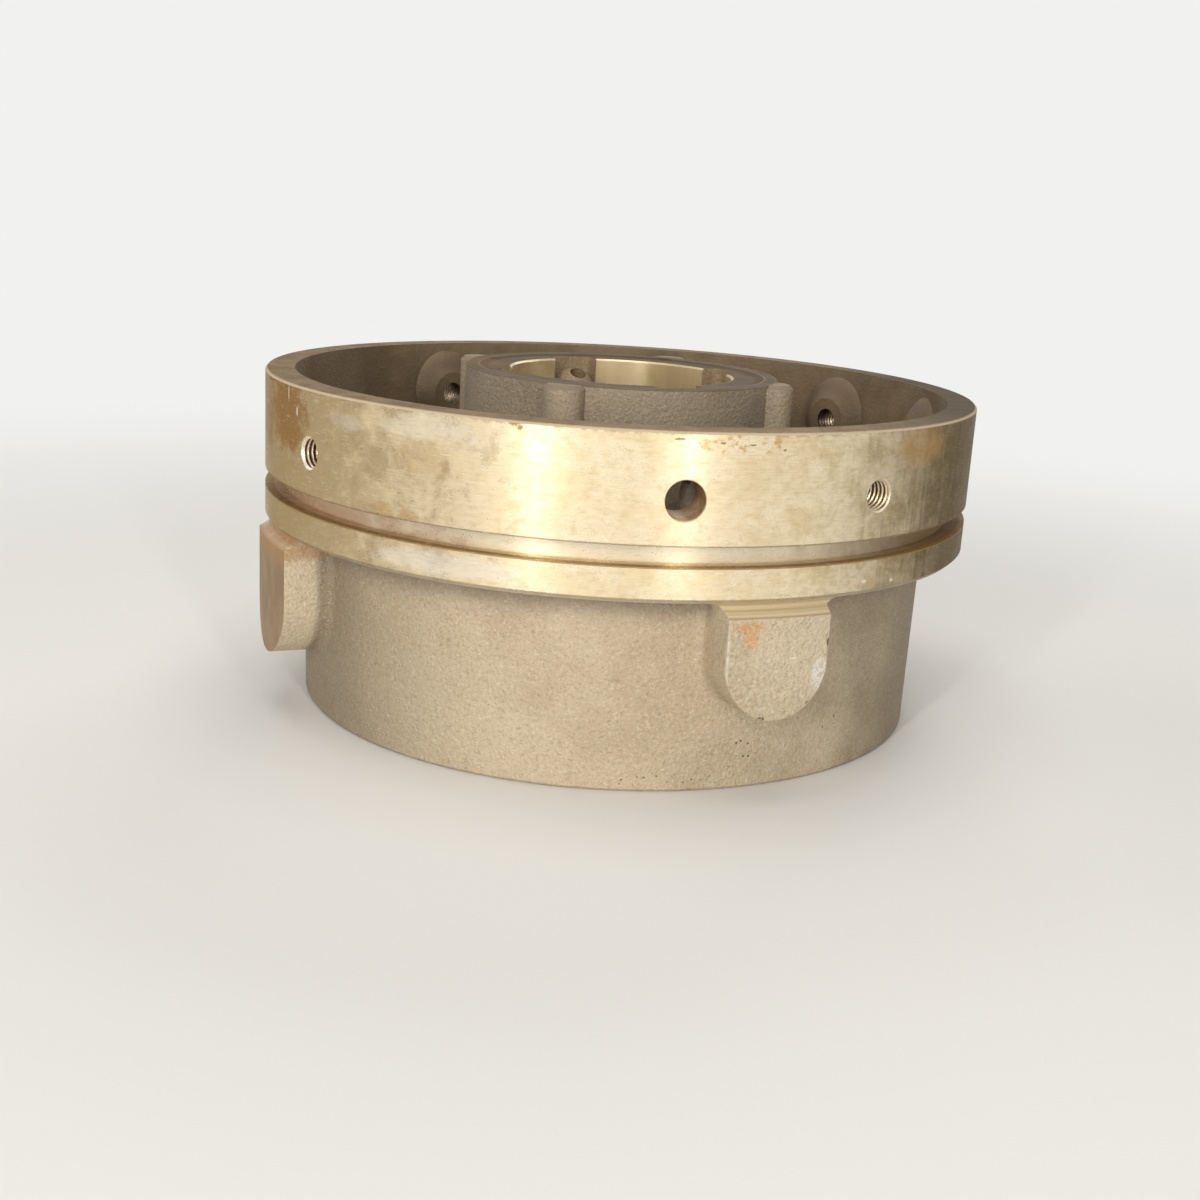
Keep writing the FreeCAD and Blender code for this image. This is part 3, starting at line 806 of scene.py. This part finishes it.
def relief_bronze():
    f = Finish("relief_bronze", 0.45, 0.3, specular=0.3)
    light, deeper = (0.68, 0.58, 0.40), (0.56, 0.45, 0.28)
    brown, rust = (0.34, 0.21, 0.09), (0.40, 0.20, 0.075)
    lines = f.noise(f.stretched(7, 2400), 1.0, 4.0, 0.6)
    cloud = f.noise(f.place, 120, 4.0, 0.6)
    colour = f.mix(f.ramp(lines, 0.40, 0.62), light, deeper)
    for height in (shoulder_height - 0.0002, shoulder_height - relief_height):
        colour = f.tint(colour, f.line(f.z, height, 0.0003, 0.0003), 0.6, brown)
    on_left_lug = f.ramp(f.x, -0.08, -0.09)
    colour = f.tint(colour, f.times(on_left_lug, f.ramp(cloud, 0.30, 0.55)), 0.75, rust)
    return f.done(colour, f.bump(lines, 0.00008, 0.4))


def left_lug_bronze():
    f = Finish("left_lug_bronze", 0.55, 0.15, specular=0.2)
    cloud = f.noise(f.stretched(110, 60), 1.0, 4.0, 0.6)
    colour = f.mix(f.ramp(cloud, 0.38, 0.64), (0.335, 0.232, 0.128), (0.265, 0.180, 0.098))
    top = f.ramp(f.plus(f.z, f.times(cloud, 0.010)), 0.055, 0.061)
    colour = f.tint(colour, top, 0.6, (0.43, 0.22, 0.085))
    return f.done(colour, f.bump(cast_grain(f), 0.00030, 0.5))


finishes = {TURNED: turned_bronze(), CAST: cast_bronze(), CORED: cored_bronze(), HUB: hub_bronze(),
            HUB_FACE: hub_face_bronze(), BORE: bore_bronze(), HOLE: drilled_bronze(),
            RIM: rim_bronze(), RELIEF: relief_bronze(), LEFT_LUG: left_lug_bronze(),
            THREAD: thread_finish}
for zone in sorted(finishes):
    skin_mesh.materials.append(finishes[zone])
for slot in node.material_slots:
    slot.material = finishes[CAST]


# ---------------------------------------------------------------------------------------------
# Studio: a plain pale floor under the casing that runs into a backdrop of the same tone, soft
# lamps, two of them tall strips for the long highlights on the band, and the camera.

backdrop_tone = (0.88, 0.88, 0.87, 1)


def floor_finish():
    """Matt pale floor that runs into the backdrop's own tone well away from the casing."""
    f = Finish("studio_floor", 0.9, 0.0, specular=0.15)
    f.shader.inputs["Base Color"].default_value = (0.86, 0.86, 0.85, 1)
    glow = f.nodes.new("ShaderNodeEmission")
    glow.inputs["Color"].default_value = backdrop_tone
    camera_ray = f.nodes.new("ShaderNodeLightPath").outputs["Is Camera Ray"]
    blend = f.nodes.new("ShaderNodeMixShader")
    f.links.new(f.times(f.ramp(f.reach(), 0.22, 0.75), camera_ray), blend.inputs[0])
    f.links.new(f.shader.outputs[0], blend.inputs[1])
    f.links.new(glow.outputs[0], blend.inputs[2])
    f.links.new(blend.outputs[0], f.nodes["Material Output"].inputs["Surface"])
    return f.material


floor_half = 6.0
corners = [(floor_half * x, floor_half * y, 0) for x, y in ((-1, -1), (1, -1), (1, 1), (-1, 1))]
floor_mesh = bpy.data.meshes.new("studio_floor")
floor_mesh.from_pydata(corners, [], [(0, 1, 2, 3)])
floor_mesh.materials.append(floor_finish())
floor = bpy.data.objects.new("studio_floor", floor_mesh)
floor.location.z = low.z - 0.0002
bpy.context.collection.objects.link(floor)

world = bpy.data.worlds.new("studio")
bpy.context.scene.world = world
world.use_nodes = True
world_nodes, world_links = world.node_tree.nodes, world.node_tree.links
soft = world_nodes["Background"]
soft.inputs["Color"].default_value = (1.0, 0.98, 0.95, 1)
soft.inputs["Strength"].default_value = 0.16
backdrop = world_nodes.new("ShaderNodeBackground")
backdrop.inputs["Color"].default_value = backdrop_tone
backdrop.inputs["Strength"].default_value = 1.0
rays = world_nodes.new("ShaderNodeLightPath").outputs
shows_backdrop = rays["Is Camera Ray"]
for kind in ("Is Glossy Ray", "Is Transmission Ray"):
    either = world_nodes.new("ShaderNodeMath")
    either.operation = "MAXIMUM"
    world_links.new(shows_backdrop, either.inputs[0])
    world_links.new(rays[kind], either.inputs[1])
    shows_backdrop = either.outputs[0]
choice = world_nodes.new("ShaderNodeMixShader")
world_links.new(shows_backdrop, choice.inputs[0])
world_links.new(soft.outputs[0], choice.inputs[1])
world_links.new(backdrop.outputs[0], choice.inputs[2])
world_links.new(choice.outputs[0], world_nodes["World Output"].inputs[0])


def softbox(name, azimuth, elevation, distance, width, height, power):
    """Area lamp that looks at the middle of the casing, placed by angles in degrees."""
    lamp = bpy.data.lights.new(name, "AREA")
    lamp.shape = "RECTANGLE"
    lamp.size = width
    lamp.size_y = height
    lamp.energy = power
    lamp.color = (1, 0.97, 0.92)
    azimuth, elevation = math.radians(azimuth), math.radians(elevation)
    away = spread(azimuth, math.cos(elevation), math.sin(elevation))
    thing = bpy.data.objects.new(name, lamp)
    thing.location = Vector((0, 0, hub_top / 2)) + away * distance
    thing.rotation_euler = (-away).to_track_quat("-Z", "Y").to_euler()
    bpy.context.collection.objects.link(thing)


softbox("left_strip", -23.4, 15, 1.5, 0.07, 0.8, 6.6)
softbox("right_strip", 20.2, 15, 1.5, 0.07, 0.8, 5.4)
softbox("front_fill", -14, 24, 1.6, 0.9, 0.6, 5.4)
softbox("top_fill", 0, 86, 1.7, 1.3, 1.3, 11.0)
softbox("back_fill", 165, 35, 1.8, 1.0, 0.8, 9.0)
softbox("back_left_fill", -115, 30, 1.8, 0.9, 0.8, 4.0)

camera_data = bpy.data.cameras.new("camera")
camera_data.sensor_width = 36.0
camera_data.lens = 46.28
camera = bpy.data.objects.new("camera", camera_data)
bpy.context.collection.objects.link(camera)
camera_place = (-0.00295, -0.53405, 0.17052)
down, roll = 0.2565, 0.0576
level_view = Matrix(((1, 0, 0), (0, 0, -1), (0, 1, 0)))
to_view = Matrix.Rotation(roll, 3, "Z") @ Matrix.Rotation(down, 3, "X") @ level_view
view_axes = (1, 0, 0), (0, -1, 0), (0, 0, -1)
sideways, upwards, backwards = (to_view.transposed() @ Vector(axis) for axis in view_axes)
turned_to = Matrix((sideways, upwards, backwards)).transposed().to_4x4()
camera.matrix_world = Matrix.Translation(camera_place) @ turned_to
bpy.context.scene.camera = camera
bpy.context.scene.view_settings.view_transform = "Standard"
